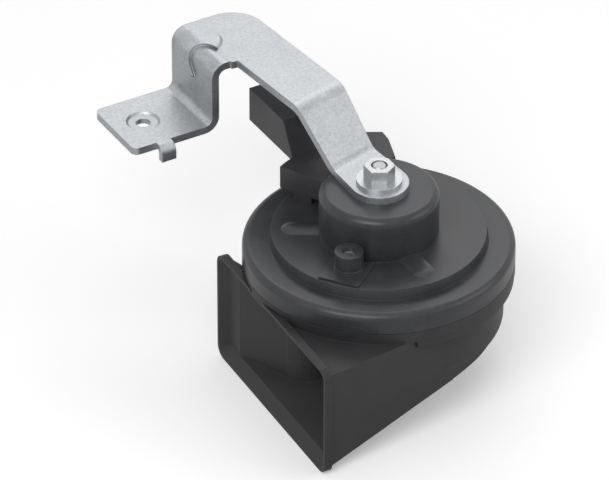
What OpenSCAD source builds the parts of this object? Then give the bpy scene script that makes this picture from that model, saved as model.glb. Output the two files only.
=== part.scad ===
// Snail-type electric car horn on a folded steel bracket.
// The bolt hole of the bracket's foot is the origin, on the foot's seat face.
// Every module of the horn itself is drawn about the horn axis, with z = 0 on
// the top of the crimped rim, and horn_frame() carries it to its place.

/* [Bracket] */
// Thickness of the bracket's steel sheet
sheet_t = 3; // [2:0.1:3.4]
// Inside radius of the bracket's folds
fold_r = 3; // [2:0.5:4]
// Width of the arm that leaves the horn
arm_w = 22.6; // [20:0.2:25]
// Radius of the round end under the nut
nut_plate_r = 10.9; // [10:0.1:12]
// Direction in which the arm runs, seen from above
arm_turn = 95.3; // [92:0.1:98]
// Direction square to the two creases of the arm
crease_turn = 104.3; // [96:0.1:106]
// Distance from the horn axis to the lower crease
toe_run = 17; // [15:0.5:19]
// Distance from the horn axis to the upper crease
knee_run = 36.5; // [34:0.5:39]
// Height that the arm climbs between the creases
arm_rise = 17.6; // [14:0.1:20]
// How far the arm's inner edge is drawn in at the lower crease
arm_waist = 2.2; // [0:0.1:3]
// Width of the leg, the riser and the foot
leg_w = 30.4; // [27:0.2:33]
// Distance from the horn axis back to the middle of the leg
leg_y = 88.3; // [84:0.1:92]
// Distance from the horn axis sideways to the riser's outer face
riser_x = 28.5; // [26:0.1:31]
// Drop from the top of the leg to the top of the foot
riser_drop = 25.5; // [22:0.1:28]
// Length of the foot from the riser's face
foot_l = 33; // [31:0.2:36]
// Radius of the leg's outer corner
leg_corner_r = 13; // [9:0.5:14]
// Radius of the foot's corners
foot_corner_r = 2.6; // [1:0.2:5]
// Diameter of the foot's bolt hole
bolt_hole_d = 5.5; // [5.2:0.1:6.6]
// Diameter of the coined ring round the bolt hole
coin_d = 12.8; // [11:0.1:15]
// Depth of the coined ring
coin_depth = 0.9; // [0.4:0.1:1.2]
// Distance from the bolt hole to the riser's outer face
bolt_reach = 20.8; // [18:0.1:23]
// Width of the locating tab on the foot
tab_w = 6; // [4:0.5:8]
// Drop of the locating tab below the top of the foot
tab_drop = 6.4; // [5:0.2:8]
// Height of the pressed gusset over the leg's fold
gusset_h = 1.3; // [0.8:0.1:1.6]

/* [Stud, nut and washer] */
// Thread diameter of the stud
stud_d = 6; // [5:0.5:6]
// Width of the nut across its flats
nut_af = 10; // [9:0.5:11]
// Height of the nut
nut_h = 5.6; // [4.5:0.1:6.5]
// Outside diameter of the washer
washer_d = 16.9; // [15:0.1:18]
// Thickness of the washer
washer_t = 1.6; // [1:0.1:2]

/* [Housing] */
// Outside diameter of the crimped rim
disc_d = 100; // [98:0.5:104]
// Height of the rim's side
rim_h = 8; // [7.5:0.1:9]
// Outside radius of the rim's upper shoulder
shoulder_r = 2.6; // [1.6:0.1:3]
// Thickness of the housing's sheet
wall_t = 1.2; // [0.9:0.1:1.4]
// Radius of the foot of the raised centre
plateau_r = 40.2; // [39:0.1:41]
// Height of the raised centre over the rim
plateau_h = 4; // [3.6:0.1:4.5]
// Outside diameter of the coil cup
cup_d = 44; // [42:0.5:45]
// Height of the coil cup's top over the rim
cup_h = 21.7; // [21:0.1:24]
// Radius of the coil cup's upper edge
cup_edge_r = 3; // [1.5:0.1:4]
// Width of the three stiffening ribs
rib_w = 8.5; // [7:0.1:10]
// Height of the stiffening ribs
rib_h = 1.3; // [0.8:0.1:1.6]
// Distance from the horn axis to the end of a rib
rib_reach = 35.7; // [32:0.1:37]
// Direction of the first rib
rib_turn = 150; // [146:1:154]

/* [Adjuster] */
// Outside diameter of the adjuster's sleeve
sleeve_d = 10.6; // [9:0.1:11.5]
// Bore of the sleeve
sleeve_bore = 5.1; // [4.8:0.1:5.4]
// Height of the sleeve over the raised centre
sleeve_h = 7.7; // [6:0.1:9]
// Gap between the coil cup and the sleeve
sleeve_gap = 0.6; // [0.5:0.1:1.4]
// Direction from the horn axis to the sleeve
sleeve_turn = 216.8; // [212:1:220]
// Side of the sleeve's square base plate
base_side = 15.7; // [14:0.1:16.5]
// Thickness of the square base plate
base_t = 0.8; // [0.5:0.1:1]

/* [Trumpet] */
// Turn of the trumpet's mouth about the horn axis
mouth_turn = -3; // [-6:1:0]
// Width of the mouth over its flange
mouth_w = 87; // [84:0.5:90]
// Height of the mouth over its flange
mouth_h = 45.4; // [44.6:0.2:48]
// Distance from the horn axis to the mouth's front
mouth_reach = 50; // [49.5:0.1:52]
// Distance from the horn axis to the mouth's near side
mouth_side = 54.6; // [54:0.1:56]
// Depth of the mouth's top below the rim's top
mouth_drop = 10.4; // [10:0.1:11]
// Thickness of the mouth's flange
flange_t = 3; // [2.4:0.1:3.6]
// Corner radius of the mouth's flange
flange_r = 4.5; // [3:0.1:5]
// Wall thickness of the trumpet
horn_wall = 2.2; // [1.8:0.1:2.6]
// Outside radius of the snail's drum
drum_r = 46; // [45.5:0.1:46.4]
// Depth of the drum's floor below the rim's top
drum_depth = 35.5; // [33:0.5:36.5]
// Radius of the drum's lower edge
drum_edge_r = 5; // [3:0.5:6]
// Angle at which the near wall flares
flare = 9; // [8:0.5:10]
// Angle at which the trumpet's floor falls towards the mouth
floor_fall = 15.9; // [14:0.1:17]
// Depth of the floor's outside at the back of the flange
floor_depth = 52.6; // [51:0.2:53.4]
// Depth of the cover's band below the rim's top
band_depth = 12.6; // [12.2:0.1:13]
// Depth of the cover's skirt below the rim's top
skirt_depth = 15.5; // [15.2:0.1:16.5]
// Diameter of the throat under the diaphragm
throat_d = 10; // [8:0.5:12]

/* [Connector] */
// Width of the plug socket
socket_w = 25.5; // [22:0.5:26.5]
// Height of the plug socket
socket_h = 14; // [12:0.5:14.5]
// Distance from the horn axis to the open end of the socket
socket_reach = 73; // [66:0.5:76]
// Depth of the opening for the plug
socket_depth = 21; // [16:0.5:23]
// Wall thickness of the socket
socket_wall = 1.7; // [1.4:0.1:2]
// Height of the socket's floor over the rim's top
socket_z = 14; // [13.5:0.1:15]
// Height of the connector's base over the rim's top
base_top = 16; // [15.5:0.1:17]
// Outside radius of the connector's base
base_r = 42.6; // [41:0.1:43]
// Width of a contact blade
blade_w = 2.8; // [2.4:0.1:4.8]
// Thickness of a contact blade
blade_t = 0.8; // [0.6:0.1:0.9]
// Distance between the two blades
blade_pitch = 8; // [6:0.5:9]

/* [Motor] */
// Diameter of the pole core
core_d = 15; // [13:0.5:15.5]
// Gap between the pole core and the resting armature
air_gap = 0.7; // [0.5:0.05:0.9]
// Height of the armature's upper face over the rim's top
armature_top = 9; // [8:0.5:11]
// Thickness of the diaphragm
diaphragm_t = 0.5; // [0.3:0.05:0.6]
// Thickness of each gasket
gasket_t = 0.5; // [0.3:0.05:0.6]
// Width of each gasket's ring
gasket_w = 5.1; // [4:0.1:6]
// Thickness of the flux plate under the coil
flux_t = 1.5; // [1:0.1:1.8]
// Thickness of the bobbin's walls
bobbin_t = 1; // [0.8:0.1:1.2]
// Thickness of the breaker arm
breaker_t = 0.4; // [0.3:0.05:0.45]
// Thickness of the fixed contact plate
fixed_t = 0.6; // [0.5:0.05:0.65]

/* [Hidden] */
$fn = 96;
// Flat steps in each fold of the sheet and in each rounded corner
fold_steps = 12;
corner_steps = 8;
// Running clearance of a turned part in its hole
fit = 0.05;
// Overlap that a cut needs past a face
past = 1;
// Side of a block larger than the whole horn
huge = 300;

disc_r = disc_d / 2;
cup_r = cup_d / 2;
step_w = 0.8;
inner_r = disc_r - wall_t;
clamp_r = disc_r - shoulder_r - 0.1;

// Levels inside the rim, from the housing down
clamp_z = -wall_t;
diaphragm_z = clamp_z - gasket_t - diaphragm_t;
cover_top = diaphragm_z - gasket_t;
lip_t = 1.1;
lip_gap = 0.2;
lip_r = disc_r - 3.6;
plateau_under = plateau_h - wall_t;
cup_under = cup_h - wall_t;

// Levels of the contact stack under the raised centre
insulator_t = 0.8;
spacer_t = 0.6;
breaker_top = plateau_under - insulator_t;
breaker_z = breaker_top - breaker_t;
fixed_top = breaker_z - spacer_t;
fixed_z = fixed_top - fixed_t;
stack_turn = sleeve_turn;
sleeve_run = cup_r + sleeve_d / 2 + sleeve_gap;
stack_in = sleeve_run + 3.9;
stack_out = stack_in + 5.6;
stack_w = 12;
strip_w = 8;
contact_run = 17;
contact_d = 3;
rivet_d = 2.4;
rivet_spread = 3.6;
rivet_run = stack_in + 2.8;
rivet_head_t = 0.8;

// The armature and what it carries
core_face = armature_top + air_gap;
flange_z = clamp_z - gasket_t;
collar_gap = 0.1;
collar_top = breaker_z - collar_gap;
collar_z = collar_top - 1.3;
collar_r = core_d / 2 + 2.8;
spigot_r = 3.4;
washer_r = 8;

// The bracket's levels and its place over the horn
nut_seat = cup_h + sheet_t;
arm_top = nut_seat + arm_rise;
foot_top = arm_top - riser_drop;
foot_seat = foot_top - sheet_t;
hole_x = -riser_x - bolt_reach;
hole_y = leg_y;
leg_near = leg_y - leg_w / 2;
leg_far = leg_y + leg_w / 2;

// The connector's base over the raised centre
base_from = 57;
base_to = 118;
base_feet = [75, 100];
base_lift = 2.9;
base_z = plateau_h + base_lift;
base_in = cup_r + 0.3;
conn_mid = 90;
conn_screw_run = 33;
conn_screw_turns = [64, 111];
conn_screw_d = 3.2;
screw_cover = 2;
window_d = 14;
window_run = 31;
blade_z = socket_z + socket_h / 2;
blade_tip = socket_reach - 5;
terminal_y = 31;
blade_step = base_r + 3.8;
bridge_z = base_top - 1.2;
terminal_foot = plateau_under - 1.4;

// The trumpet's floor and roof
roof_t = horn_wall + 0.2;
roof_z = -band_depth - roof_t;
flange_back = -mouth_reach + flange_t;
air_front = -max(mouth_reach, drum_r) - past;
plate_top = cover_top - 3.8;
plate_t = 2.5;
duct_roof = plate_top - plate_t;
groove_z = -rim_h + lip_t + lip_gap;
partition_r = 26;
partition_y = 4;
throat_turn = 225;
far_start = mouth_w - mouth_side - 0.8;
far_centre = [-26.6, -0.6];
far_a = 187;
far_b = 253;
far_bend_r = 13;
bend_steps = 8;
skirt_from = -101;
skirt_to = 150;
merge_x = flange_back + (floor_depth - drum_depth) / tan(floor_fall);

// Helpers
function unit(v) = v / norm(v);
function left_of(v) = [-v[1], v[0]];
function ray(a) = [cos(a), sin(a)];
function turn_of(a, b) = atan2(a[0] * b[1] - a[1] * b[0], a[0] * b[0] + a[1] * b[1]);

module horn_frame() {
  translate([-hole_x, -hole_y, -foot_seat]) children();
}

module at(run, turn, z = 0) {
  rotate([0, 0, turn]) translate([run, 0, z]) children();
}

module ring(r_out, r_in, h) {
  difference() {
    cylinder(r = r_out, h = h);
    translate([0, 0, -past]) cylinder(r = r_in, h = h + 2 * past);
  }
}

function arc_points(centre, r, from, to, steps) =
  [for (i = [0:steps]) centre + ray(from + (to - from) * i / steps) * r];

// One side of a folded strip: the path itself, or the line at depth off on its left
function strip_side(path, t, r_in, off) =
  let(
    last = len(path) - 1,
    dirs = [for (i = [0:last - 1]) unit(path[i + 1] - path[i])],
    turns = [for (i = [1:last - 1]) turn_of(dirs[i - 1], dirs[i])]
  )
  [path[0] + left_of(dirs[0]) * off,
    for (i = [1:last - 1])
      let(
        turn = turns[i - 1],
        side = turn > 0 ? 1 : -1,
        r = turn > 0 ? r_in + t : r_in,
        centre = path[i] - dirs[i - 1] * r * tan(abs(turn) / 2) + left_of(dirs[i - 1]) * side * r,
        out = -left_of(dirs[i - 1]) * side,
        from = atan2(out[1], out[0])
      )
      each arc_points(centre, r - side * off, from, from + turn, fold_steps),
    path[last] + left_of(dirs[last - 1]) * off];

// A strip of even thickness along a path, on the path's left, with round folds
module bent_strip(path, t, r_in) {
  back = strip_side(path, t, r_in, t);
  polygon(concat(strip_side(path, t, r_in, 0), [for (i = [len(back) - 1:-1:0]) back[i]]));
}

module round_rect(w, h, r) {
  polygon(concat(
    arc_points([w - r, h - r], r, 0, 90, corner_steps), arc_points([r, h - r], r, 90, 180, corner_steps),
    arc_points([r, r], r, 180, 270, corner_steps), arc_points([w - r, r], r, 270, 360, corner_steps)));
}

// The bracket

// Plan of the round end, the arm and the leg, about the horn axis
module bracket_plan() {
  dir = ray(arm_turn);
  side = left_of(dir);
  half = arm_w / 2;
  corner = leg_far - leg_corner_r;
  corner_x = (dir * corner / dir[1] - side * half)[0] - leg_corner_r;
  polygon(concat(
    arc_points([0, 0], nut_plate_r, arm_turn + 90, arm_turn + 270, 3 * corner_steps),
    [dir * knee_run - side * half],
    arc_points([corner_x, corner], leg_corner_r, 0, 90, 2 * corner_steps),
    [[-riser_x, leg_far], [-riser_x, leg_near], dir * (leg_near / dir[1]) + side * half,
      dir * knee_run + side * half, dir * toe_run + side * (half - arm_waist)]));
}

// The folded sheet as seen along the arm's two creases
module arm_profile() {
  bent_strip([[90, arm_top], [knee_run, arm_top], [toe_run, nut_seat], [-20, nut_seat]],
    sheet_t, 2 * fold_r);
}

// The folded sheet as seen along the riser, from a depth in the sheet up to
// its outer face, which grow raises
module riser_profile(depth, grow = 0) {
  bent_strip([[10, arm_top + grow], [-riser_x - grow, arm_top + grow],
    [-riser_x - grow, foot_top + grow], [-riser_x - foot_l, foot_top + grow]],
    depth + grow, fold_r + sheet_t - depth);
}

module foot_plan() {
  translate([-riser_x - foot_l, leg_near])
    round_rect(foot_l + sheet_t + fold_r + foot_corner_r, leg_w, foot_corner_r);
}

module gusset_outline() {
  difference() {
    circle(r = 9.2);
    translate([-7.6, 1.6]) circle(r = 7.4);
  }
}

module mounting_bracket() {
  color("silver") horn_frame() {
    difference() {
      union() {
        intersection() {
          rotate([0, 0, crease_turn]) rotate([90, 0, 0])
            linear_extrude(height = 200, center = true) arm_profile();
          linear_extrude(height = huge, center = true) intersection() {
            bracket_plan();
            translate([-riser_x + 8, -50]) square([200, leg_near + 52]);
          }
        }
        intersection() {
          translate([0, leg_far, 0]) rotate([90, 0, 0])
            linear_extrude(height = leg_w) riser_profile(sheet_t);
          linear_extrude(height = huge, center = true) union() {
            bracket_plan();
            foot_plan();
          }
        }
        intersection() {
          translate([0, leg_far, 0]) rotate([90, 0, 0])
            linear_extrude(height = leg_w) riser_profile(sheet_t / 2, gusset_h);
          translate([-riser_x + 0.1, leg_y + 1.3, arm_top]) rotate([0, -45, 0]) rotate([0, 0, 90])
            linear_extrude(height = 40, center = true) gusset_outline();
        }
        locating_tab();
      }
      cylinder(r = stud_d / 2 + 0.2, h = huge, center = true);
      translate([hole_x, hole_y, 0]) {
        cylinder(d = bolt_hole_d, h = huge, center = true);
        translate([0, 0, foot_top - coin_depth])
          cylinder(d1 = coin_d - 2 * coin_depth, d2 = coin_d, h = coin_depth + 0.001);
      }
    }
  }
}

module locating_tab() {
  out = 1.4;
  translate([hole_x - tab_w / 2 + 0.2, leg_near, 0]) rotate([90, 0, 90])
    linear_extrude(height = tab_w)
      bent_strip([[5, foot_top], [-fold_r - out, foot_top], [-fold_r - out, foot_top - tab_drop]],
        sheet_t * 0.8, 1);
}

module bracket_nut() {
  tip = nut_af / cos(30) / 2;
  color("gainsboro") horn_frame() translate([0, 0, nut_seat + washer_t]) difference() {
    intersection() {
      rotate([0, 0, -30]) cylinder(r = tip, h = nut_h, $fn = 6);
      cylinder(r1 = tip + 0.5 + nut_h, r2 = tip - 0.45, h = nut_h + 0.001);
    }
    translate([0, 0, -past]) cylinder(r = stud_d / 2 + fit, h = nut_h + 2 * past);
  }
}

module bracket_washer() {
  color("lightgray") horn_frame() translate([0, 0, nut_seat])
    ring(washer_d / 2, stud_d / 2 + 0.2, washer_t);
}

// The housing and what is fixed to it

module core_stud() {
  neck = stud_d / 2 + 1.5;
  end = nut_seat + washer_t + nut_h;
  chamfer = 0.8;
  color("dimgray") horn_frame() {
    translate([0, 0, core_face]) cylinder(r = core_d / 2, h = cup_under - core_face);
    translate([0, 0, cup_under - 0.01]) cylinder(r = neck, h = wall_t + 0.01);
    translate([0, 0, cup_h - 0.01]) cylinder(r = stud_d / 2, h = end - cup_h - chamfer + 0.01);
    translate([0, 0, end - chamfer]) cylinder(r1 = stud_d / 2, r2 = stud_d / 2 - chamfer, h = chamfer);
  }
}

// Half section of the drawn sheet: its outside, or its inside with t > 0
module housing_section(t) {
  floor_z = t > 0 ? -rim_h + lip_t : -rim_h;
  shoulder = shoulder_r - t;
  edge = cup_edge_r - t;
  translate([0, floor_z]) square([disc_r - t, -shoulder_r - floor_z]);
  translate([0, floor_z]) square([disc_r - shoulder_r, -t - floor_z]);
  translate([disc_r - shoulder_r, -shoulder_r]) circle(r = shoulder);
  polygon([[0, -t - 1], [plateau_r - t, -t - 1], [plateau_r - t, -t],
    [plateau_r - t - step_w, plateau_h - t], [0, plateau_h - t]]);
  square([cup_r - t, cup_h - cup_edge_r]);
  square([cup_r - cup_edge_r, cup_h - t]);
  translate([cup_r - cup_edge_r, cup_h - cup_edge_r]) circle(r = edge);
}

module rib() {
  arch = (rib_w * rib_w / 4 + rib_h * rib_h) / (2 * rib_h);
  run = rib_reach - rib_w / 2;
  start = cup_r - wall_t / 2;
  intersection() {
    translate([0, 0, plateau_h + rib_h - arch]) {
      translate([start, 0, 0]) rotate([0, 90, 0]) cylinder(r = arch, h = run - start);
      translate([run, 0, 0]) sphere(r = arch);
    }
    translate([start, -rib_w, plateau_h - 0.3]) cube([rib_reach, 2 * rib_w, 10]);
  }
}

module motor_housing() {
  color("dimgray") horn_frame() difference() {
    union() {
      rotate_extrude() difference() {
        intersection() {
          housing_section(0);
          translate([0, -50]) square([100, 100]);
        }
        housing_section(wall_t);
        translate([0, -rim_h - past]) square([lip_r, rim_h]);
      }
      for (turn = [0, 120, 240]) rotate([0, 0, rib_turn + turn]) rib();
    }
    cylinder(r = stud_d / 2 + 1.5 + fit, h = huge);
    at(sleeve_run, sleeve_turn) cylinder(r = sleeve_bore / 2 + 0.4, h = cup_h);
    at(window_run, conn_mid) cylinder(d = window_d, h = cup_h);
    for (side = [-1, 1]) at(rivet_run, stack_turn) translate([0, side * rivet_spread, 0])
      cylinder(d = rivet_d + 2 * fit, h = cup_h);
    for (turn = conn_screw_turns) at(conn_screw_run, turn)
      cylinder(d = conn_screw_d + 2 * fit, h = cup_h);
  }
}

module adjuster_sleeve() {
  color("gray") horn_frame() at(sleeve_run, sleeve_turn, plateau_h) difference() {
    union() {
      translate([cup_r + 0.3 - sleeve_run, -base_side / 2, 0]) cube([base_side, base_side, base_t]);
      cylinder(d = sleeve_d + 0.6, h = base_t + 0.8);
      cylinder(d = sleeve_d, h = sleeve_h);
    }
    translate([0, 0, -past]) cylinder(d = sleeve_bore, h = sleeve_h + 2 * past);
  }
}

module adjusting_screw() {
  sink = 1.6;
  socket = 2.5 / cos(30);
  h = plateau_h + sleeve_h - sink - fixed_top;
  color("silver") horn_frame() at(sleeve_run, sleeve_turn, fixed_top) difference() {
    cylinder(r = sleeve_bore / 2 - fit, h = h);
    translate([0, 0, h - 2]) cylinder(d = socket, h = 2 + past, $fn = 6);
  }
}

// The electromagnet

module flux_plate() {
  color("slategray") horn_frame() translate([0, 0, plateau_under]) difference() {
    ring(cup_r - wall_t - 0.1, core_d / 2 + 0.6, flux_t);
    for (side = [-1, 1]) translate([side * blade_pitch / 2, 18.2, -past])
      cylinder(r = 1.2, h = flux_t + 2 * past);
  }
}

module coil_bobbin() {
  low = plateau_under + flux_t;
  tall = cup_under - low;
  bore = core_d / 2 + 0.3;
  flange = cup_r - wall_t - cup_edge_r + 1;
  color("ivory") horn_frame() translate([0, 0, low]) difference() {
    rotate_extrude() {
      translate([bore, 0]) square([bobbin_t, tall]);
      translate([bore, 0]) square([flange - bore, bobbin_t]);
      translate([bore, tall - bobbin_t]) square([flange - bore, bobbin_t]);
    }
    for (side = [-1, 1]) translate([side * blade_pitch / 2, 18.2, -past])
      cylinder(r = 0.6, h = bobbin_t + 2 * past);
  }
}

module coil_winding() {
  low = plateau_under + flux_t + bobbin_t;
  tall = cup_under - bobbin_t - low;
  color("chocolate") horn_frame() translate([0, 0, low])
    ring(cup_r - wall_t - cup_edge_r + 0.4, core_d / 2 + 0.3 + bobbin_t, tall);
}

module coil_leads() {
  wire = 0.8;
  low = plateau_under - 1.2;
  top = plateau_under + flux_t + bobbin_t;
  color("chocolate") horn_frame() for (side = [-1, 1]) translate([side * blade_pitch / 2, 0, 0]) {
    translate([0, 18.2, low]) cylinder(d = wire, h = top - low);
    translate([0, 18.2, low]) sphere(d = wire);
    translate([0, 18.2, low]) rotate([-90, 0, 0])
      cylinder(d = wire, h = terminal_y - blade_t / 2 - 18.2);
  }
}

module armature() {
  body = core_d / 2 - 0.2;
  head_z = diaphragm_z - 1;
  color("gray") horn_frame() {
    translate([0, 0, flange_z]) cylinder(r = collar_r, h = collar_z - flange_z);
    translate([0, 0, flange_z]) cylinder(r = body, h = armature_top - flange_z);
    translate([0, 0, head_z - 1]) cylinder(r = spigot_r, h = flange_z - head_z + 1.01);
    translate([0, 0, head_z - 1]) cylinder(r = spigot_r + 1.4, h = 1);
  }
}

module armature_collar() {
  color("saddlebrown") horn_frame() translate([0, 0, collar_z])
    ring(collar_r, core_d / 2 - 0.2 + fit, collar_top - collar_z);
}

module diaphragm_washer() {
  color("silver") horn_frame() translate([0, 0, diaphragm_z - 1])
    ring(washer_r, spigot_r + fit, 1);
}

module diaphragm() {
  color("lightsteelblue") horn_frame() translate([0, 0, diaphragm_z])
    ring(clamp_r, spigot_r + fit, diaphragm_t);
}

module gasket(z) {
  horn_frame() translate([0, 0, z]) ring(clamp_r, clamp_r - gasket_w, gasket_t);
}

module upper_gasket() {
  color("black") gasket(clamp_z - gasket_t);
}

module lower_gasket() {
  color("black") gasket(cover_top);
}

// The contact breaker

module contact_strip(from, to, w, z, t, hole) {
  horn_frame() at(0, stack_turn, z) difference() {
    union() {
      translate([from + w / 2, -w / 2, 0]) cube([stack_in - from - w / 2, w, t]);
      translate([from + w / 2, 0, 0]) cylinder(d = w, h = t);
      translate([stack_in, -stack_w / 2, 0]) cube([to - stack_in, stack_w, t]);
    }
    if (hole > 0) translate([sleeve_run, 0, -past]) cylinder(r = hole, h = t + 2 * past);
    stack_holes(t);
  }
}

module stack_holes(t) {
  for (side = [-1, 1]) translate([rivet_run, side * rivet_spread, -past])
    cylinder(d = rivet_d + 2 * fit, h = t + 2 * past);
}

module breaker_arm() {
  color("gold") contact_strip(core_d / 2 + 0.9, stack_out, strip_w, breaker_z, breaker_t,
    sleeve_bore / 2 + 0.4);
}

module fixed_contact_plate() {
  color("goldenrod") contact_strip(collar_r + 2, stack_out, strip_w, fixed_z, fixed_t, 0);
}

module moving_contact() {
  color("white") horn_frame() at(contact_run, stack_turn, fixed_top + spacer_t / 2)
    cylinder(d = contact_d, h = spacer_t / 2);
}

module fixed_contact() {
  color("white") horn_frame() at(contact_run, stack_turn, fixed_top)
    cylinder(d = contact_d, h = spacer_t / 2);
}

module contact_insulators() {
  color("saddlebrown") horn_frame() at(0, stack_turn) for (layer = [
    [breaker_top, insulator_t], [fixed_top, spacer_t], [fixed_z - spacer_t, spacer_t]
  ]) translate([0, 0, layer[0]]) difference() {
    translate([stack_in, -stack_w / 2, 0]) cube([stack_out - stack_in, stack_w, layer[1]]);
    stack_holes(layer[1]);
  }
}

module contact_rivets() {
  low = fixed_z - spacer_t - rivet_head_t;
  color("silver") horn_frame() for (side = [-1, 1])
    at(rivet_run, stack_turn) translate([0, side * rivet_spread, 0]) {
      translate([0, 0, low]) cylinder(d = rivet_d, h = plateau_h - low);
      translate([0, 0, low]) cylinder(d = rivet_d + 1.2, h = rivet_head_t);
    }
}

module suppression_resistor() {
  d = 3.4;
  l = 9;
  color("darkkhaki") horn_frame() at(30, 20, plateau_under - d / 2) rotate([90, 0, 0]) {
    cylinder(d = d, h = l, center = true);
    cylinder(d = 0.8, h = l + 6, center = true);
  }
}

// The connector

// The part of a ring between two directions
module sector(r_in, r_out, from, to, h) {
  rotate([0, 0, from]) rotate_extrude(angle = to - from) translate([r_in, 0])
    square([r_out - r_in, h]);
}

// Side view of the socket: its sloping back rises from the base
module socket_side() {
  polygon([[base_r - 2.2, socket_z], [socket_reach, socket_z], [socket_reach, socket_z + socket_h],
    [base_r + 5.2, socket_z + socket_h]]);
}

// A contact strip: blade, step down through the socket's floor, and leg, as
// boxes from a low corner to a high one in the plane of the strip
module terminal_solid(side, grow) {
  half = blade_t / 2;
  legs = [
    [[blade_step - half, blade_z - half], [blade_tip, blade_z + half]],
    [[blade_step - half, bridge_z - half], [blade_step + half, blade_z + half]],
    [[terminal_y - half, bridge_z - half], [blade_step + half, bridge_z + half]],
    [[terminal_y - half, terminal_foot], [terminal_y + half, bridge_z + half]]
  ];
  translate([side * blade_pitch / 2 - blade_w / 2 - grow, 0, 0]) for (leg = legs)
    translate([0, leg[0][0] - grow, leg[0][1] - grow])
      cube([blade_w + 2 * grow, leg[1][0] - leg[0][0] + 2 * grow, leg[1][1] - leg[0][1] + 2 * grow]);
}

module connector_body() {
  color("black") horn_frame() difference() {
    union() {
      translate([0, 0, base_z]) sector(base_in, base_r, base_from, base_to, base_top - base_z);
      for (span = [[base_from, base_feet[0]], [base_feet[1], base_to]])
        translate([0, 0, plateau_h]) sector(29, 37, span[0], span[1], base_lift + 0.5);
      rotate([90, 0, 90]) linear_extrude(height = socket_w, center = true) socket_side();
    }
    translate([0, socket_reach - socket_depth, socket_z + socket_wall]) rotate([-90, 0, 0])
      translate([-socket_w / 2 + socket_wall, -socket_h + 2 * socket_wall, 0])
        linear_extrude(height = socket_depth + past)
          round_rect(socket_w - 2 * socket_wall, socket_h - 2 * socket_wall, 1.5);
    for (side = [-1, 1]) terminal_solid(side, fit);
    for (turn = conn_screw_turns) at(conn_screw_run, turn, plateau_h - past)
      cylinder(d = conn_screw_d + 2 * fit, h = base_top - plateau_h + past - screw_cover);
  }
}

module connector_gasket() {
  color("black") horn_frame() difference() {
    translate([0, 0, plateau_h]) sector(23.5, 38.5, 77, 98, base_lift);
    for (side = [-1, 1]) terminal_solid(side, fit);
  }
}

module connector_screws() {
  color("silver") horn_frame() for (turn = conn_screw_turns) at(conn_screw_run, turn) {
    translate([0, 0, plateau_under - 1]) cylinder(d = conn_screw_d + 2.4, h = 1);
    translate([0, 0, plateau_under - 0.01])
      cylinder(d = conn_screw_d, h = base_top - screw_cover - 0.6 - plateau_under);
  }
}

module supply_terminal() {
  color("khaki") horn_frame() terminal_solid(-1, 0);
}

module ground_terminal() {
  color("khaki") horn_frame() terminal_solid(1, 0);
}

// The trumpet

// Distance from the horn axis to the near wall's outside, or its inside
function near_run(inset) = drum_r - 0.25 - inset;
function near_foot(inset) = ray(-90 + flare) * near_run(inset);
function near_at(x, inset) = [x, -(near_run(inset) - x * sin(flare)) / cos(flare)];

// The far wall's inside from the mouth to the partition, or its outside with t > 0
function far_curve(t) = concat(
  [[air_front + t, far_start]],
  [for (i = [0:bend_steps]) far_centre + ray(far_a + (far_b - far_a) * i / bend_steps) * (far_bend_r - t)],
  [[-4, partition_y - partition_r + 1.1 + t / 2]]);

// Outline of the bell from above, with its near side moved out by grow
module bell_outline(grow = 0) {
  polygon(concat(
    [near_at(flange_back, -grow), near_foot(-grow), [near_foot(0)[0], -22]],
    [for (i = [bend_steps + 2:-1:1]) far_curve(horn_wall + grow)[i]],
    [[flange_back, far_start]]));
}

// The front of the drum, where the floor falls below the rest
module drum_front(r) {
  intersection() {
    circle(r = r);
    translate([0, -drum_r - past]) square([merge_x, drum_r + past - 10]);
  }
}

// Plan of the air in the bell and the last stretch of the spiral
module bell_air() {
  difference() {
    union() {
      polygon(concat(
        [near_at(air_front, horn_wall), near_foot(horn_wall), [near_foot(0)[0], -21]],
        [for (i = [bend_steps + 2:-1:0]) far_curve(0)[i]]));
      drum_front(drum_r - horn_wall - 0.5);
    }
    translate([0, partition_y]) circle(r = partition_r + 0.15);
  }
}

// Plan of the air in the rest of the spiral
module spiral_air() {
  difference() {
    circle(r = drum_r - horn_wall);
    translate([0, partition_y]) difference() {
      circle(r = partition_r);
      circle(r = partition_r - horn_wall);
      polygon([[0, 0], ray(throat_turn - 25) * 40, ray(throat_turn + 25) * 40]);
    }
    bell_outline();
  }
}

// The space over the trumpet's sloping floor, raised by lift
module over_floor(lift) {
  translate([flange_back, 0, -floor_depth + lift / cos(floor_fall)])
    rotate([0, -floor_fall, 0]) translate([-huge / 2, -huge / 2, 0]) cube(huge);
}

module trumpet_cover() {
  wall_in = drum_r - horn_wall;
  skirt_top = -band_depth + 1;
  skirt_step = roof_z + 0.5;
  skirt_r = max(disc_r - 0.3, drum_r + 2);
  color("black") horn_frame() rotate([0, 0, mouth_turn]) {
    rotate_extrude() polygon([
      [throat_d / 2, plate_top], [plateau_r + 2, plate_top], [plateau_r + 2, cover_top],
      [inner_r - 0.2, cover_top], [inner_r - 0.2, groove_z], [lip_r - 0.2, groove_z],
      [lip_r - 0.2, -rim_h - lip_gap], [disc_r, -rim_h - lip_gap], [disc_r, -band_depth],
      [drum_r, -band_depth], [drum_r, roof_z], [wall_in, roof_z], [wall_in, duct_roof],
      [throat_d / 2, duct_roof]
    ]);
    difference() {
      rotate([0, 0, skirt_from]) rotate_extrude(angle = skirt_to - skirt_from) polygon([
        [drum_r - 1, skirt_top], [skirt_r, skirt_top], [skirt_r, -skirt_depth],
        [drum_r + 0.2, -skirt_depth - 2.4], [drum_r + 0.2, skirt_step], [drum_r - 1, skirt_step]
      ]);
      translate([0, 0, roof_z - 10]) linear_extrude(height = 10.3) bell_outline(0.15);
    }
    translate([0, 0, roof_z]) linear_extrude(height = roof_t + 0.2) difference() {
      bell_outline();
      circle(r = drum_r - 1.2);
    }
  }
}

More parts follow.
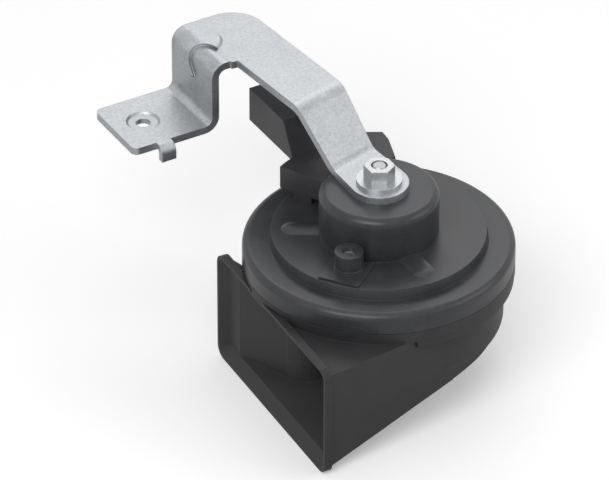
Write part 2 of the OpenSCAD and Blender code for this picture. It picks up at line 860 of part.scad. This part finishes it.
// A thin upright plate between two sides and two levels
module mouth_plate(x, y0, y1, z0, z1, r) {
  translate([x, y0, z0]) rotate([90, 0, 90]) linear_extrude(height = 0.01)
    round_rect(y1 - y0, z1 - z0, r);
}

module mouth_flange() {
  rim = 1.2;
  far = mouth_w - mouth_side;
  low = -mouth_drop - mouth_h;
  difference() {
    translate([-mouth_reach, -mouth_side, low]) rotate([90, 0, 90])
      linear_extrude(height = flange_t) round_rect(mouth_w, mouth_h, flange_r);
    hull() {
      mouth_plate(-mouth_reach - 0.02, -mouth_side + rim, far - rim, low + rim, -mouth_drop - rim,
        flange_r - rim);
      mouth_plate(flange_back + 0.02, near_at(flange_back, horn_wall)[1], far_start - 4,
        -floor_depth + horn_wall / cos(floor_fall), roof_z, 1);
    }
  }
}

// Half section of the drum's outside
module drum_outside() {
  square_r = drum_r - drum_edge_r;
  translate([0, -drum_depth]) square([square_r, drum_depth + roof_z]);
  translate([0, -drum_depth + drum_edge_r]) square([drum_r, drum_depth - drum_edge_r + roof_z]);
  translate([square_r, -drum_depth + drum_edge_r]) circle(r = drum_edge_r);
  translate([0, roof_z - past]) square([drum_r - horn_wall - 0.6, past - roof_z + duct_roof - 0.1]);
}

// Half section of the drum's inside
module drum_inside() {
  square_r = drum_r - drum_edge_r;
  low = -drum_depth + horn_wall;
  translate([0, low]) square([square_r, huge]);
  translate([0, -drum_depth + drum_edge_r]) square([drum_r - horn_wall, huge]);
  translate([square_r, -drum_depth + drum_edge_r]) circle(r = drum_edge_r - horn_wall);
}

module trumpet_shell() {
  color("black") horn_frame() rotate([0, 0, mouth_turn]) difference() {
    union() {
      difference() {
        union() {
          rotate_extrude() drum_outside();
          intersection() {
            translate([0, 0, -90]) linear_extrude(height = 90 + roof_z) difference() {
              union() {
                bell_outline();
                drum_front(drum_r - 0.5);
              }
              translate([0, partition_y]) circle(r = partition_r - horn_wall);
            }
            over_floor(0);
          }
        }
        intersection() {
          rotate_extrude() drum_inside();
          translate([0, 0, -90]) linear_extrude(height = 100) spiral_air();
        }
        intersection() {
          translate([0, 0, -90]) linear_extrude(height = 100) bell_air();
          over_floor(horn_wall);
        }
      }
      mouth_flange();
    }
    translate([0, 0, -band_depth - 0.2]) cylinder(r = disc_r + 0.2, h = huge);
  }
}

mounting_bracket();
bracket_nut();
bracket_washer();
core_stud();
motor_housing();
adjuster_sleeve();
adjusting_screw();
flux_plate();
coil_bobbin();
coil_winding();
coil_leads();
armature();
armature_collar();
diaphragm_washer();
diaphragm();
upper_gasket();
lower_gasket();
breaker_arm();
moving_contact();
fixed_contact();
fixed_contact_plate();
contact_insulators();
contact_rivets();
suppression_resistor();
connector_body();
connector_gasket();
connector_screws();
supply_terminal();
ground_terminal();
trumpet_cover();
trumpet_shell();
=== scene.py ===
import math

import bmesh
import bpy
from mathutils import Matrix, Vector


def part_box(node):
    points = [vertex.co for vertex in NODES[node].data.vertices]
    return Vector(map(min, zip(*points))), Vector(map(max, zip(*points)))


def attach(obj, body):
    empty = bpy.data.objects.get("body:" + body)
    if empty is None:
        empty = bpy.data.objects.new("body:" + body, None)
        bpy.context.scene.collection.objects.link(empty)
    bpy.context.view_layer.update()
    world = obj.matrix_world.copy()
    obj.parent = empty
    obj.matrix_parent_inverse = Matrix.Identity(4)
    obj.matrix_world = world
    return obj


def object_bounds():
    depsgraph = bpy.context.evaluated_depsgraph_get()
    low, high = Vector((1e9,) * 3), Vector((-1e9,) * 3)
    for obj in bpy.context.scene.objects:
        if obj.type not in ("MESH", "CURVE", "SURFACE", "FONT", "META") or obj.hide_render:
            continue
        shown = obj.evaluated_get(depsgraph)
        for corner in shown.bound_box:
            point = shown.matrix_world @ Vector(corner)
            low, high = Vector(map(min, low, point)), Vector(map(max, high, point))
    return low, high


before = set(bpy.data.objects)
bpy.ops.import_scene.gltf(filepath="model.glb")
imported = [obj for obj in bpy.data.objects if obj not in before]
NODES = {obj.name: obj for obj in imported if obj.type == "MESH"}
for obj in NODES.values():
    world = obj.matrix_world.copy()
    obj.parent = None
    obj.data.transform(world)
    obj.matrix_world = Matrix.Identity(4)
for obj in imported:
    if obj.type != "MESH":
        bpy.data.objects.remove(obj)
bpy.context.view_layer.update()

MM = 0.001
SCENE = bpy.context.scene

# The coil's bobbin lies round the horn's axis, and the rim's top sheet lies on the upper gasket
RIM_SHEET = 1.2 * MM
bobbin_low, bobbin_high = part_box("coil_bobbin")
AXIS = (bobbin_low + bobbin_high) / 2
AXIS.z = 0.0
RIM_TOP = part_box("upper_gasket")[1].z + RIM_SHEET


# Material nodes

def feed(tree, value, socket):
    """Links another node's output to a socket, or sets the socket's own number or colour."""
    if hasattr(value, "is_output"):
        tree.links.new(value, socket)
    elif isinstance(value, tuple):
        socket.default_value = (*value, 1.0)
    else:
        socket.default_value = value


def noise(tree, coords, scale, detail, rough):
    made = tree.nodes.new("ShaderNodeTexNoise")
    made.inputs["Scale"].default_value = scale
    made.inputs["Detail"].default_value = detail
    made.inputs["Roughness"].default_value = rough
    feed(tree, coords, made.inputs["Vector"])
    return made.outputs["Fac"]


def remap(tree, value, source, target=(0.0, 1.0)):
    """The value, stretched from one pair of limits to another."""
    made = tree.nodes.new("ShaderNodeMapRange")
    for name, number in zip(("From Min", "From Max", "To Min", "To Max"), (*source, *target)):
        made.inputs[name].default_value = number
    feed(tree, value, made.inputs["Value"])
    return made.outputs["Result"]


def mix(tree, factor, first, second):
    """A blend of two colours, each a tuple or another node's output."""
    made = tree.nodes.new("ShaderNodeMix")
    made.data_type = "RGBA"
    factor_in, first_in, second_in = made.inputs[0], made.inputs[6], made.inputs[7]
    feed(tree, factor, factor_in)
    feed(tree, first, first_in)
    feed(tree, second, second_in)
    return made.outputs[2]


def lightness(tree, colour, amount):
    made = tree.nodes.new("ShaderNodeHueSaturation")
    feed(tree, colour, made.inputs["Color"])
    feed(tree, amount, made.inputs["Value"])
    return made.outputs["Color"]


def calculate(tree, kind, first, second):
    """A Math node on two values, its result kept between 0 and 1."""
    made = tree.nodes.new("ShaderNodeMath")
    made.operation = kind
    made.use_clamp = True
    feed(tree, first, made.inputs[0])
    feed(tree, second, made.inputs[1])
    return made.outputs[0]


def rounded_normal(tree, radius, samples):
    made = tree.nodes.new("ShaderNodeBevel")
    made.samples = samples
    made.inputs["Radius"].default_value = radius
    return made.outputs[0]


# Finishes. Limits are those between which a noise or a tilt is spread over its whole range

CLOUD_LIMITS = (0.34, 0.66)
GRAIN_LIMITS, GRAIN_LIGHTNESS = (0.3, 0.7), (0.86, 1.14)
WEAR_RADIUS, WEAR_TILT_LIMITS = 0.4 * MM, (0.96, 0.7)
WEAR_SCALE, WEAR_LIMITS = 900.0, (0.42, 0.62)
CLOUD_IN_ROUGHNESS, ROUGHNESS_LIMITS = 0.6, (0.2, 0.8)
COAT_ROUGHNESS = 0.25


def edge_mask(tree):
    """1 along sharp edges, 0 on flat faces, by how far a rounded edge would tilt the face."""
    tilt = tree.nodes.new("ShaderNodeVectorMath")
    tilt.operation = "DOT_PRODUCT"
    geometry = tree.nodes.new("ShaderNodeNewGeometry")
    feed(tree, rounded_normal(tree, WEAR_RADIUS, samples=4), tilt.inputs[0])
    feed(tree, geometry.outputs["Normal"], tilt.inputs[1])
    return remap(tree, tilt.outputs["Value"], WEAR_TILT_LIMITS)


def finish(name, base, other, metallic, rough, grain, bump, blotch, wear=None, wear_amount=0.0,
           coat=0.0, streak=None, specular=0.5, round_edge=0.0):
    """A procedural finish. Base and other are mixed in soft blotches, about blotch of them to
    a metre. Grain is the size of the fine texture and bump its height, in millimetres. Rough
    is a pair of limits, wear the colour of worn edges, streak the grain's scale along each
    axis, and round_edge the radius in millimetres to which sharp edges are shaded."""
    made = bpy.data.materials.new(name)
    made.use_nodes = True
    tree = made.node_tree
    shader = tree.nodes["Principled BSDF"]
    coords = tree.nodes.new("ShaderNodeTexCoord").outputs["Object"]
    grain_coords = coords
    if streak:
        mapping = tree.nodes.new("ShaderNodeMapping")
        mapping.inputs["Scale"].default_value = streak
        feed(tree, coords, mapping.inputs["Vector"])
        grain_coords = mapping.outputs["Vector"]

    cloudy = remap(tree, noise(tree, coords, blotch, detail=5.0, rough=0.6), CLOUD_LIMITS)
    fine = noise(tree, grain_coords, 1.0 / (grain * MM), detail=3.0, rough=0.6)
    speck = remap(tree, fine, GRAIN_LIMITS, GRAIN_LIGHTNESS)
    colour = lightness(tree, mix(tree, cloudy, base, other), speck)
    if wear:
        ragged = noise(tree, coords, WEAR_SCALE, detail=4.0, rough=0.7)
        worn = calculate(tree, "MULTIPLY", edge_mask(tree), remap(tree, ragged, WEAR_LIMITS))
        worn = calculate(tree, "MULTIPLY", worn, wear_amount)
        colour = mix(tree, worn, colour, wear)
    uneven = calculate(tree, "ADD", calculate(tree, "MULTIPLY", cloudy, CLOUD_IN_ROUGHNESS),
                       calculate(tree, "MULTIPLY", fine, 1.0 - CLOUD_IN_ROUGHNESS))
    feed(tree, colour, shader.inputs["Base Color"])
    feed(tree, remap(tree, uneven, ROUGHNESS_LIMITS, rough), shader.inputs["Roughness"])
    shader.inputs["Metallic"].default_value = metallic
    shader.inputs["Specular IOR Level"].default_value = specular
    shader.inputs["Coat Weight"].default_value = coat
    shader.inputs["Coat Roughness"].default_value = COAT_ROUGHNESS

    raised = tree.nodes.new("ShaderNodeBump")
    raised.inputs["Strength"].default_value = 1.0
    raised.inputs["Distance"].default_value = bump * MM
    feed(tree, fine, raised.inputs["Height"])
    if round_edge:
        feed(tree, rounded_normal(tree, round_edge * MM, samples=6), raised.inputs["Normal"])
    feed(tree, raised.outputs[0], shader.inputs["Normal"])
    return made


MATERIALS = {
    "zinc": finish(
        "zinc_plate", base=(0.37, 0.385, 0.40), other=(0.45, 0.465, 0.48), metallic=0.9,
        rough=(0.34, 0.48), grain=1.1, bump=0.012, blotch=90.0,
        wear=(0.62, 0.63, 0.65), wear_amount=0.5, round_edge=0.35),
    "nut": finish(
        "bright_zinc", base=(0.42, 0.43, 0.44), other=(0.50, 0.51, 0.52), metallic=0.95,
        rough=(0.28, 0.40), grain=0.6, bump=0.006, blotch=200.0,
        wear=(0.66, 0.66, 0.67), wear_amount=0.5, round_edge=0.2),
    "black_steel": finish(
        "black_paint", base=(0.028, 0.029, 0.032), other=(0.040, 0.041, 0.045), metallic=0.0,
        rough=(0.30, 0.40), grain=0.9, bump=0.006, blotch=70.0,
        wear=(0.11, 0.11, 0.12), wear_amount=0.4, coat=0.12, specular=0.35, round_edge=0.3),
    "plastic": finish(
        "black_plastic", base=(0.026, 0.026, 0.028), other=(0.036, 0.036, 0.038), metallic=0.0,
        rough=(0.44, 0.58), grain=0.35, bump=0.018, blotch=45.0,
        wear=(0.075, 0.075, 0.08), wear_amount=0.5, specular=0.3, round_edge=0.3),
    "connector": finish(
        "connector_plastic", base=(0.034, 0.034, 0.037), other=(0.046, 0.046, 0.05), metallic=0.0,
        rough=(0.36, 0.48), grain=0.3, bump=0.01, blotch=80.0,
        wear=(0.09, 0.09, 0.095), wear_amount=0.4, specular=0.32, round_edge=0.25),
    "iron": finish(
        "turned_iron", base=(0.34, 0.34, 0.35), other=(0.42, 0.42, 0.43), metallic=0.9,
        rough=(0.3, 0.45), grain=0.5, bump=0.008, blotch=120.0),
    "spring": finish(
        "spring_steel", base=(0.52, 0.54, 0.57), other=(0.6, 0.62, 0.65), metallic=0.95,
        rough=(0.2, 0.32), grain=0.7, bump=0.004, blotch=120.0),
    "copper": finish(
        "enamelled_copper", base=(0.55, 0.22, 0.08), other=(0.66, 0.29, 0.12), metallic=0.85,
        rough=(0.2, 0.32), grain=0.4, bump=0.02, blotch=150.0, streak=(0.2, 0.2, 4.0)),
    "tin": finish(
        "tinned_brass", base=(0.66, 0.62, 0.48), other=(0.72, 0.69, 0.58), metallic=0.95,
        rough=(0.22, 0.36), grain=0.4, bump=0.004, blotch=180.0),
    "fibre": finish(
        "hard_fibre", base=(0.23, 0.13, 0.065), other=(0.30, 0.18, 0.09), metallic=0.0,
        rough=(0.5, 0.65), grain=0.4, bump=0.015, blotch=150.0),
    "nylon": finish(
        "natural_nylon", base=(0.68, 0.64, 0.53), other=(0.74, 0.71, 0.61), metallic=0.0,
        rough=(0.35, 0.5), grain=0.4, bump=0.008, blotch=100.0),
    "rubber": finish(
        "gasket_rubber", base=(0.02, 0.02, 0.02), other=(0.03, 0.03, 0.03), metallic=0.0,
        rough=(0.6, 0.8), grain=0.3, bump=0.012, blotch=100.0),
}

NODES_OF = {
    "zinc": ["mounting_bracket"],
    "nut": ["bracket_nut", "bracket_washer", "adjusting_screw", "contact_rivets",
            "connector_screws", "moving_contact", "fixed_contact"],
    "black_steel": ["motor_housing", "adjuster_sleeve"],
    "plastic": ["trumpet_cover", "trumpet_shell"],
    "connector": ["connector_body"],
    "iron": ["core_stud", "flux_plate", "armature"],
    "spring": ["diaphragm", "diaphragm_washer", "breaker_arm"],
    "copper": ["coil_winding", "coil_leads"],
    "tin": ["supply_terminal", "ground_terminal", "fixed_contact_plate"],
    "fibre": ["contact_insulators", "armature_collar", "suppression_resistor"],
    "nylon": ["coil_bobbin"],
    "rubber": ["upper_gasket", "lower_gasket", "connector_gasket"],
}


def paint(obj, material):
    obj.data.materials.clear()
    obj.data.materials.append(material)


for key, names in NODES_OF.items():
    for name in names:
        paint(NODES[name], MATERIALS[key])


# Small forms, in millimetres, with x and y from the horn's axis and z from the top of its rim

def add_piece(name, points, faces, key, edge=0.0):
    """A closed mesh that rides with the horn, its edges bevelled by edge millimetres."""
    mesh = bpy.data.meshes.new(name)
    mesh.from_pydata([(x * MM + AXIS.x, y * MM + AXIS.y, z * MM + RIM_TOP)
                      for x, y, z in points], [], faces)
    mesh.validate()
    outward = bmesh.new()
    outward.from_mesh(mesh)
    bmesh.ops.recalc_face_normals(outward, faces=outward.faces)
    outward.to_mesh(mesh)
    outward.free()
    made = bpy.data.objects.new(name, mesh)
    SCENE.collection.objects.link(made)
    if edge:
        bevel = made.modifiers.new("edge", "BEVEL")
        bevel.width = edge * MM
        bevel.segments = 2
    paint(made, MATERIALS[key])
    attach(made, "horn")


def polar(radius, degrees):
    turn = math.radians(degrees)
    return (radius * math.cos(turn), radius * math.sin(turn))


def tube_faces(rings, size):
    """The sides and both ends of a closed tube of so many rings, each of size points."""
    sides = [[ring * size + i, ring * size + (i + 1) % size,
              (ring + 1) * size + (i + 1) % size, (ring + 1) * size + i]
             for ring in range(rings - 1) for i in range(size)]
    last = (rings - 1) * size
    return sides + [list(range(size)), list(range(last, last + size))]


# The connector's base has a lug behind the arm, whose foot is sunk a little into its side
BASE_R = 42.6
LUG_SUNK = 0.5
LUG_Z = (6.93, 15.97)
LUG_EDGE = 0.25
LUG_SIDES = [(14.1, 22.2), (20.1, 22.2), (23.9, 33.6), (24.4, 38.9), (19.0, 42.0), (13.5, 40.0)]
LUG_FOOT = [polar(BASE_R - LUG_SUNK, degrees) for degrees in (68.0, 64.0, 60.0, 57.8)]


def add_base_lug():
    outline = LUG_SIDES + LUG_FOOT
    points = [(x, y, z) for z in LUG_Z for x, y in outline]
    add_piece("base_lug", points, tube_faces(2, len(outline)), "connector", LUG_EDGE)


# The bell's sloping floor runs out into the drum's lower edge, which is an arc in section
MOUTH_TURN = -3.0
BELL_DEPTH, BELL_FALL, FLANGE_BACK = 52.6, math.radians(15.9), -47.0
EDGE_R, EDGE_CENTRE_R, EDGE_CENTRE_Z = 5.0, 41.0, -30.5
DRUM_FLOOR_Z = EDGE_CENTRE_Z - EDGE_R

# Where the run-out starts and ends, in degrees from the drum's near side, its outer radius
# there, and the share of the run over which that radius grows
NEAR_SIDE = -90.0
RUN_TURNS, RUN_STEPS = (15.4, 38.2), 28
RUN_OUTER = (45.5, 45.93)
GROWS_OVER = 0.5

# How far it stands proud of the bell's floor, and how deep its back lies in the drum's wall
PROUD = 0.005
OUTER_RISE = 0.25
TIP_IN = 0.05
BACK_IN, BACK_RISE = 0.4, 0.35
CORE_IN, CORE_RISE = 0.6, 0.4

# Its tip is found in small strides inwards, at the place where floor and edge meet
STRIDE = 0.02
MEETING_GAP = 0.01
LEAST_REACH = 0.1


def bell_floor_z(x):
    """Height of the bell's floor, with x counted from the horn's axis away from the mouth."""
    return -BELL_DEPTH + (x - FLANGE_BACK) * math.tan(BELL_FALL)


def edge_z(radius):
    """Height of the drum's rounded lower edge."""
    return EDGE_CENTRE_Z - math.sqrt(max(EDGE_R ** 2 - (radius - EDGE_CENTRE_R) ** 2, 0.0))


def run_out_section(outer, lean):
    """Five corners as (radius, z), where lean is the sine of the section's turn."""
    inner = outer
    innermost = EDGE_CENTRE_R + LEAST_REACH
    while inner > innermost and bell_floor_z(inner * lean) < edge_z(inner) - MEETING_GAP:
        inner -= STRIDE
    tip_z = max(bell_floor_z(inner * lean), DRUM_FLOOR_Z)
    return [
        (outer, edge_z(outer) + OUTER_RISE),
        (outer, min(bell_floor_z(outer * lean), edge_z(outer)) - PROUD),
        (inner - TIP_IN, tip_z),
        (inner - BACK_IN, tip_z + BACK_RISE),
        (outer - CORE_IN, edge_z(outer - CORE_IN) + CORE_RISE),
    ]


def add_floor_run_out():
    points = []
    for step in range(RUN_STEPS + 1):
        share = step / RUN_STEPS
        turn = RUN_TURNS[0] + (RUN_TURNS[1] - RUN_TURNS[0]) * share
        outer = RUN_OUTER[0] + (RUN_OUTER[1] - RUN_OUTER[0]) * min(1.0, share / GROWS_OVER)
        section = run_out_section(outer, math.sin(math.radians(turn)))
        points += [(*polar(radius, NEAR_SIDE + turn + MOUTH_TURN), z) for radius, z in section]
    add_piece("floor_run_out", points, tube_faces(RUN_STEPS + 1, len(section)), "plastic")


add_base_lug()
add_floor_run_out()


# Stage, in metres

STAGE_GAP = 0.2 * MM
STAGE_SIZE = 6.0
CARD, CARD_OTHER = (0.86, 0.86, 0.86), (0.89, 0.89, 0.89)
CARD_SCALE = 3.0
CARD_GLOW = 0.27

# The picture's frame and a place in it, in pixels, and what one pixel spans on the horn
WIDE, TALL = 609, 480
AXIS_AT = (378.8, 237.5)
PIXEL = 0.365 * MM

# The picture's viewing angle, with a long lens so that its lines stay nearly parallel
TURN, RISE = math.radians(-30.0), math.radians(34.5)
LENS, SENSOR = 400.0, 36.0
CLIP_END = 50.0

# Each lamp's place, its width and height, and its power in watts
LAMP_TARGET = Vector((0.04, -0.08, -0.02))
LAMPS = {
    "key": ((-0.55, -0.55, 0.75), (0.7, 0.5), 4.6),
    "fill": ((0.75, -0.65, 0.45), (0.6, 0.6), 1.5),
    "back": ((0.55, 0.65, 0.85), (0.9, 0.35), 2.0),
    "top": ((0.05, -0.05, 1.0), (0.8, 0.8), 0.9),
}
WORLD_STRENGTH = 0.42
WHITE_STRENGTH = 1.0


def pale_card():
    """Seen by the camera it glows a little, so that it reads as white paper."""
    made = bpy.data.materials.new("pale_floor")
    made.use_nodes = True
    tree = made.node_tree
    shader = tree.nodes["Principled BSDF"]
    coords = tree.nodes.new("ShaderNodeTexCoord").outputs["Object"]
    cloudy = noise(tree, coords, CARD_SCALE, detail=4.0, rough=0.55)
    feed(tree, mix(tree, cloudy, CARD, CARD_OTHER), shader.inputs["Base Color"])
    shader.inputs["Roughness"].default_value = 0.7
    shader.inputs["Specular IOR Level"].default_value = 0.2
    shader.inputs["Emission Color"].default_value = (1.0, 1.0, 1.0, 1.0)
    seen = tree.nodes.new("ShaderNodeLightPath").outputs["Is Camera Ray"]
    feed(tree, calculate(tree, "MULTIPLY", seen, CARD_GLOW), shader.inputs["Emission Strength"])
    return made


def add_floor():
    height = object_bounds()[0][2] - STAGE_GAP
    mesh = bpy.data.meshes.new("floor")
    flat = bmesh.new()
    bmesh.ops.create_grid(flat, x_segments=2, y_segments=2, size=STAGE_SIZE)
    flat.to_mesh(mesh)
    flat.free()
    mesh.materials.append(pale_card())
    made = bpy.data.objects.new("floor", mesh)
    made.location = (0.0, 0.0, height)
    SCENE.collection.objects.link(made)


def add_camera():
    """The picture's view, in which the horn's axis meets the top of its rim at AXIS_AT."""
    back = Vector((math.sin(TURN) * math.cos(RISE), -math.cos(TURN) * math.cos(RISE),
                   math.sin(RISE)))
    right = Vector((math.cos(TURN), math.sin(TURN), 0.0))
    up = back.cross(right)
    aim = Vector((AXIS.x, AXIS.y, RIM_TOP))
    aim -= right * (AXIS_AT[0] - WIDE / 2) * PIXEL
    aim += up * (AXIS_AT[1] - TALL / 2) * PIXEL
    data = bpy.data.cameras.new("camera")
    data.lens = LENS
    data.sensor_width = SENSOR
    data.clip_end = CLIP_END
    made = bpy.data.objects.new("camera", data)
    made.location = aim + back * (PIXEL * WIDE * LENS / SENSOR)
    made.rotation_euler = back.to_track_quat("Z", "Y").to_euler()
    SCENE.collection.objects.link(made)
    SCENE.camera = made


def add_lamp(name, place, size, power):
    data = bpy.data.lights.new(name, "AREA")
    data.shape = "RECTANGLE"
    data.size, data.size_y = size
    data.energy = power
    made = bpy.data.objects.new(name, data)
    made.location = place
    made.rotation_euler = (Vector(place) - LAMP_TARGET).to_track_quat("Z", "Y").to_euler()
    SCENE.collection.objects.link(made)


def background(tree, strength):
    made = tree.nodes.new("ShaderNodeBackground")
    made.inputs["Color"].default_value = (1.0, 1.0, 1.0, 1.0)
    made.inputs["Strength"].default_value = strength
    return made.outputs[0]


def add_world():
    """White to the camera and in reflections, and a soft light on the object."""
    world = bpy.data.worlds.new("studio")
    SCENE.world = world
    world.use_nodes = True
    tree = world.node_tree
    tree.nodes.clear()
    path = tree.nodes.new("ShaderNodeLightPath")
    seen = path.outputs["Is Camera Ray"]
    for ray in ("Is Glossy Ray", "Is Transmission Ray"):
        seen = calculate(tree, "MAXIMUM", seen, path.outputs[ray])
    both = tree.nodes.new("ShaderNodeMixShader")
    feed(tree, seen, both.inputs[0])
    feed(tree, background(tree, WORLD_STRENGTH), both.inputs[1])
    feed(tree, background(tree, WHITE_STRENGTH), both.inputs[2])
    out = tree.nodes.new("ShaderNodeOutputWorld")
    feed(tree, both.outputs[0], out.inputs["Surface"])


add_floor()
add_camera()
for name, (place, size, power) in LAMPS.items():
    add_lamp(name, place, size, power)
add_world()
SCENE.view_settings.view_transform = "Standard"
